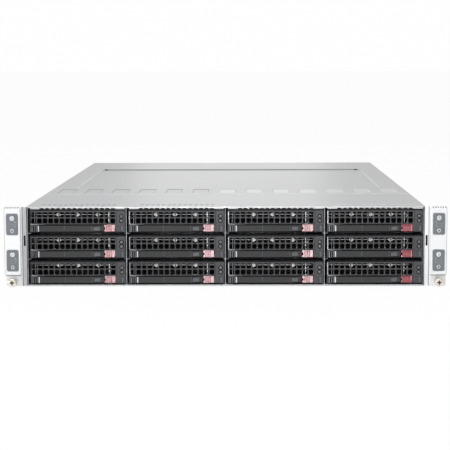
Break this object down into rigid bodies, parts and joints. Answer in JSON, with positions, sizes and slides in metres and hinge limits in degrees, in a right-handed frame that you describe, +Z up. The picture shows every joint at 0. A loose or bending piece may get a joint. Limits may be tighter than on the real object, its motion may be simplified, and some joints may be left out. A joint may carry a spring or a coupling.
{
  "type": "2u rack server",
  "caption": "Flat steel rack server chassis with hot-swap drive trays across the front, a control panel on each ear, and node sleds and power supplies that slide out of the rear.",
  "frame": {"origin": "centre of the footprint, on the underside of the chassis", "axes": "X across the front, Y from the front to the rear, Z up"},
  "size_m": [0.4826, 0.771, 0.088],
  "materials": {
    "zinc_steel": "zinc-plated sheet, fine satin",
    "cover_steel": "light grey plated sheet, satin",
    "circuit_board": "green solder mask, satin",
    "fan_plastic": "black glass-filled plastic",
    "ear_silver": "near-white silver paint, satin",
    "panel_grey": "mid-grey membrane",
    "screw_nickel": "warm plated steel",
    "tray_black": "charcoal moulded plastic, fine texture",
    "lever_black": "satin black plastic",
    "release_red": "muted red plastic",
    "key_white": "white plastic",
    "key_grey": "grey plastic with a white ring"
  },
  "bodies": {
    "chassis": {"base_pan": "zinc_steel", "drive_cage": "zinc_steel", "front_cover": "cover_steel", "circuit_boards": "circuit_board", "fan_housings": "fan_plastic", "fan_rotors": "fan_plastic", "rack_ears": "ear_silver", "control_panels": "panel_grey", "thumbscrews": "screw_nickel"},
    "tray_1": {"drive_tray_1": "tray_black"},
    "lever_1": {"tray_lever_1": "lever_black"},
    "release_1": {"release_button_1": "release_red"},
    "tray_2": {"drive_tray_2": "tray_black"},
    "lever_2": {"tray_lever_2": "lever_black"},
    "release_2": {"release_button_2": "release_red"},
    "tray_3": {"drive_tray_3": "tray_black"},
    "lever_3": {"tray_lever_3": "lever_black"},
    "release_3": {"release_button_3": "release_red"},
    "tray_4": {"drive_tray_4": "tray_black"},
    "lever_4": {"tray_lever_4": "lever_black"},
    "release_4": {"release_button_4": "release_red"},
    "tray_5": {"drive_tray_5": "tray_black"},
    "lever_5": {"tray_lever_5": "lever_black"},
    "release_5": {"release_button_5": "release_red"},
    "tray_6": {"drive_tray_6": "tray_black"},
    "lever_6": {"tray_lever_6": "lever_black"},
    "release_6": {"release_button_6": "release_red"},
    "tray_7": {"drive_tray_7": "tray_black"},
    "lever_7": {"tray_lever_7": "lever_black"},
    "release_7": {"release_button_7": "release_red"},
    "tray_8": {"drive_tray_8": "tray_black"},
    "lever_8": {"tray_lever_8": "lever_black"},
    "release_8": {"release_button_8": "release_red"},
    "tray_9": {"drive_tray_9": "tray_black"},
    "lever_9": {"tray_lever_9": "lever_black"},
    "release_9": {"release_button_9": "release_red"},
    "tray_10": {"drive_tray_10": "tray_black"},
    "lever_10": {"tray_lever_10": "lever_black"},
    "release_10": {"release_button_10": "release_red"},
    "tray_11": {"drive_tray_11": "tray_black"},
    "lever_11": {"tray_lever_11": "lever_black"},
    "release_11": {"release_button_11": "release_red"},
    "tray_12": {"drive_tray_12": "tray_black"},
    "lever_12": {"tray_lever_12": "lever_black"},
    "release_12": {"release_button_12": "release_red"},
    "power_1": {"power_button_1": "key_white"},
    "ident_1": {"id_button_1": "key_grey"},
    "power_2": {"power_button_2": "key_white"},
    "ident_2": {"id_button_2": "key_grey"},
    "power_3": {"power_button_3": "key_white"},
    "ident_3": {"id_button_3": "key_grey"},
    "power_4": {"power_button_4": "key_white"},
    "ident_4": {"id_button_4": "key_grey"},
    "sled_1": {"node_sled_1": "zinc_steel"},
    "sled_2": {"node_sled_2": "zinc_steel"},
    "sled_3": {"node_sled_3": "zinc_steel"},
    "sled_4": {"node_sled_4": "zinc_steel"},
    "supply_1": {"power_supply_1": "zinc_steel"},
    "supply_2": {"power_supply_2": "zinc_steel"},
    "cover": {"top_cover": "cover_steel"}
  },
  "joints": [
    {"name": "tray_slide_1", "type": "slide", "parent": "chassis", "child": "tray_1", "axis": [0, -1, 0], "range_m": [0, 0.16]},
    {"name": "lever_swing_1", "type": "hinge", "parent": "tray_1", "child": "lever_1", "pos_m": [-0.2034, -0.3662, 0.0602], "axis": [0, 0, -1], "range_deg": [0, 75]},
    {"name": "release_press_1", "type": "slide", "parent": "tray_1", "child": "release_1", "axis": [0, 1, 0], "range_m": [0, 0.0015], "stiffness_N_per_m": 300},
    {"name": "tray_slide_2", "type": "slide", "parent": "chassis", "child": "tray_2", "axis": [0, -1, 0], "range_m": [0, 0.16]},
    {"name": "lever_swing_2", "type": "hinge", "parent": "tray_2", "child": "lever_2", "pos_m": [-0.0948, -0.3662, 0.0602], "axis": [0, 0, -1], "range_deg": [0, 75]},
    {"name": "release_press_2", "type": "slide", "parent": "tray_2", "child": "release_2", "axis": [0, 1, 0], "range_m": [0, 0.0015], "stiffness_N_per_m": 300},
    {"name": "tray_slide_3", "type": "slide", "parent": "chassis", "child": "tray_3", "axis": [0, -1, 0], "range_m": [0, 0.16]},
    {"name": "lever_swing_3", "type": "hinge", "parent": "tray_3", "child": "lever_3", "pos_m": [0.0138, -0.3662, 0.0602], "axis": [0, 0, -1], "range_deg": [0, 75]},
    {"name": "release_press_3", "type": "slide", "parent": "tray_3", "child": "release_3", "axis": [0, 1, 0], "range_m": [0, 0.0015], "stiffness_N_per_m": 300},
    {"name": "tray_slide_4", "type": "slide", "parent": "chassis", "child": "tray_4", "axis": [0, -1, 0], "range_m": [0, 0.16]},
    {"name": "lever_swing_4", "type": "hinge", "parent": "tray_4", "child": "lever_4", "pos_m": [0.1224, -0.3662, 0.0602], "axis": [0, 0, -1], "range_deg": [0, 75]},
    {"name": "release_press_4", "type": "slide", "parent": "tray_4", "child": "release_4", "axis": [0, 1, 0], "range_m": [0, 0.0015], "stiffness_N_per_m": 300},
    {"name": "tray_slide_5", "type": "slide", "parent": "chassis", "child": "tray_5", "axis": [0, -1, 0], "range_m": [0, 0.16]},
    {"name": "lever_swing_5", "type": "hinge", "parent": "tray_5", "child": "lever_5", "pos_m": [-0.2034, -0.3662, 0.0318], "axis": [0, 0, -1], "range_deg": [0, 75]},
    {"name": "release_press_5", "type": "slide", "parent": "tray_5", "child": "release_5", "axis": [0, 1, 0], "range_m": [0, 0.0015], "stiffness_N_per_m": 300},
    {"name": "tray_slide_6", "type": "slide", "parent": "chassis", "child": "tray_6", "axis": [0, -1, 0], "range_m": [0, 0.16]},
    {"name": "lever_swing_6", "type": "hinge", "parent": "tray_6", "child": "lever_6", "pos_m": [-0.0948, -0.3662, 0.0318], "axis": [0, 0, -1], "range_deg": [0, 75]},
    {"name": "release_press_6", "type": "slide", "parent": "tray_6", "child": "release_6", "axis": [0, 1, 0], "range_m": [0, 0.0015], "stiffness_N_per_m": 300},
    {"name": "tray_slide_7", "type": "slide", "parent": "chassis", "child": "tray_7", "axis": [0, -1, 0], "range_m": [0, 0.16]},
    {"name": "lever_swing_7", "type": "hinge", "parent": "tray_7", "child": "lever_7", "pos_m": [0.0138, -0.3662, 0.0318], "axis": [0, 0, -1], "range_deg": [0, 75]},
    {"name": "release_press_7", "type": "slide", "parent": "tray_7", "child": "release_7", "axis": [0, 1, 0], "range_m": [0, 0.0015], "stiffness_N_per_m": 300},
    {"name": "tray_slide_8", "type": "slide", "parent": "chassis", "child": "tray_8", "axis": [0, -1, 0], "range_m": [0, 0.16]},
    {"name": "lever_swing_8", "type": "hinge", "parent": "tray_8", "child": "lever_8", "pos_m": [0.1224, -0.3662, 0.0318], "axis": [0, 0, -1], "range_deg": [0, 75]},
    {"name": "release_press_8", "type": "slide", "parent": "tray_8", "child": "release_8", "axis": [0, 1, 0], "range_m": [0, 0.0015], "stiffness_N_per_m": 300},
    {"name": "tray_slide_9", "type": "slide", "parent": "chassis", "child": "tray_9", "axis": [0, -1, 0], "range_m": [0, 0.16]},
    {"name": "lever_swing_9", "type": "hinge", "parent": "tray_9", "child": "lever_9", "pos_m": [-0.2034, -0.3662, 0.0034], "axis": [0, 0, -1], "range_deg": [0, 75]},
    {"name": "release_press_9", "type": "slide", "parent": "tray_9", "child": "release_9", "axis": [0, 1, 0], "range_m": [0, 0.0015], "stiffness_N_per_m": 300},
    {"name": "tray_slide_10", "type": "slide", "parent": "chassis", "child": "tray_10", "axis": [0, -1, 0], "range_m": [0, 0.16]},
    {"name": "lever_swing_10", "type": "hinge", "parent": "tray_10", "child": "lever_10", "pos_m": [-0.0948, -0.3662, 0.0034], "axis": [0, 0, -1], "range_deg": [0, 75]},
    {"name": "release_press_10", "type": "slide", "parent": "tray_10", "child": "release_10", "axis": [0, 1, 0], "range_m": [0, 0.0015], "stiffness_N_per_m": 300},
    {"name": "tray_slide_11", "type": "slide", "parent": "chassis", "child": "tray_11", "axis": [0, -1, 0], "range_m": [0, 0.16]},
    {"name": "lever_swing_11", "type": "hinge", "parent": "tray_11", "child": "lever_11", "pos_m": [0.0138, -0.3662, 0.0034], "axis": [0, 0, -1], "range_deg": [0, 75]},
    {"name": "release_press_11", "type": "slide", "parent": "tray_11", "child": "release_11", "axis": [0, 1, 0], "range_m": [0, 0.0015], "stiffness_N_per_m": 300},
    {"name": "tray_slide_12", "type": "slide", "parent": "chassis", "child": "tray_12", "axis": [0, -1, 0], "range_m": [0, 0.16]},
    {"name": "lever_swing_12", "type": "hinge", "parent": "tray_12", "child": "lever_12", "pos_m": [0.1224, -0.3662, 0.0034], "axis": [0, 0, -1], "range_deg": [0, 75]},
    {"name": "release_press_12", "type": "slide", "parent": "tray_12", "child": "release_12", "axis": [0, 1, 0], "range_m": [0, 0.0015], "stiffness_N_per_m": 300},
    {"name": "power_press_1", "type": "slide", "parent": "chassis", "child": "power_1", "axis": [0, 1, 0], "range_m": [0, 0.0007], "stiffness_N_per_m": 300},
    {"name": "id_press_1", "type": "slide", "parent": "chassis", "child": "ident_1", "axis": [0, 1, 0], "range_m": [0, 0.0007], "stiffness_N_per_m": 300},
    {"name": "power_press_2", "type": "slide", "parent": "chassis", "child": "power_2", "axis": [0, 1, 0], "range_m": [0, 0.0007], "stiffness_N_per_m": 300},
    {"name": "id_press_2", "type": "slide", "parent": "chassis", "child": "ident_2", "axis": [0, 1, 0], "range_m": [0, 0.0007], "stiffness_N_per_m": 300},
    {"name": "power_press_3", "type": "slide", "parent": "chassis", "child": "power_3", "axis": [0, 1, 0], "range_m": [0, 0.0007], "stiffness_N_per_m": 300},
    {"name": "id_press_3", "type": "slide", "parent": "chassis", "child": "ident_3", "axis": [0, 1, 0], "range_m": [0, 0.0007], "stiffness_N_per_m": 300},
    {"name": "power_press_4", "type": "slide", "parent": "chassis", "child": "power_4", "axis": [0, 1, 0], "range_m": [0, 0.0007], "stiffness_N_per_m": 300},
    {"name": "id_press_4", "type": "slide", "parent": "chassis", "child": "ident_4", "axis": [0, 1, 0], "range_m": [0, 0.0007], "stiffness_N_per_m": 300},
    {"name": "sled_slide_1", "type": "slide", "parent": "chassis", "child": "sled_1", "axis": [0, 1, 0], "range_m": [0, 0.42]},
    {"name": "sled_slide_2", "type": "slide", "parent": "chassis", "child": "sled_2", "axis": [0, 1, 0], "range_m": [0, 0.42]},
    {"name": "sled_slide_3", "type": "slide", "parent": "chassis", "child": "sled_3", "axis": [0, 1, 0], "range_m": [0, 0.42]},
    {"name": "sled_slide_4", "type": "slide", "parent": "chassis", "child": "sled_4", "axis": [0, 1, 0], "range_m": [0, 0.42]},
    {"name": "supply_slide_1", "type": "slide", "parent": "chassis", "child": "supply_1", "axis": [0, 1, 0], "range_m": [0, 0.24]},
    {"name": "supply_slide_2", "type": "slide", "parent": "chassis", "child": "supply_2", "axis": [0, 1, 0], "range_m": [0, 0.24]},
    {"name": "cover_lift", "type": "slide", "parent": "chassis", "child": "cover", "axis": [0, 0, 1], "range_m": [0, 0.15]}
  ]
}
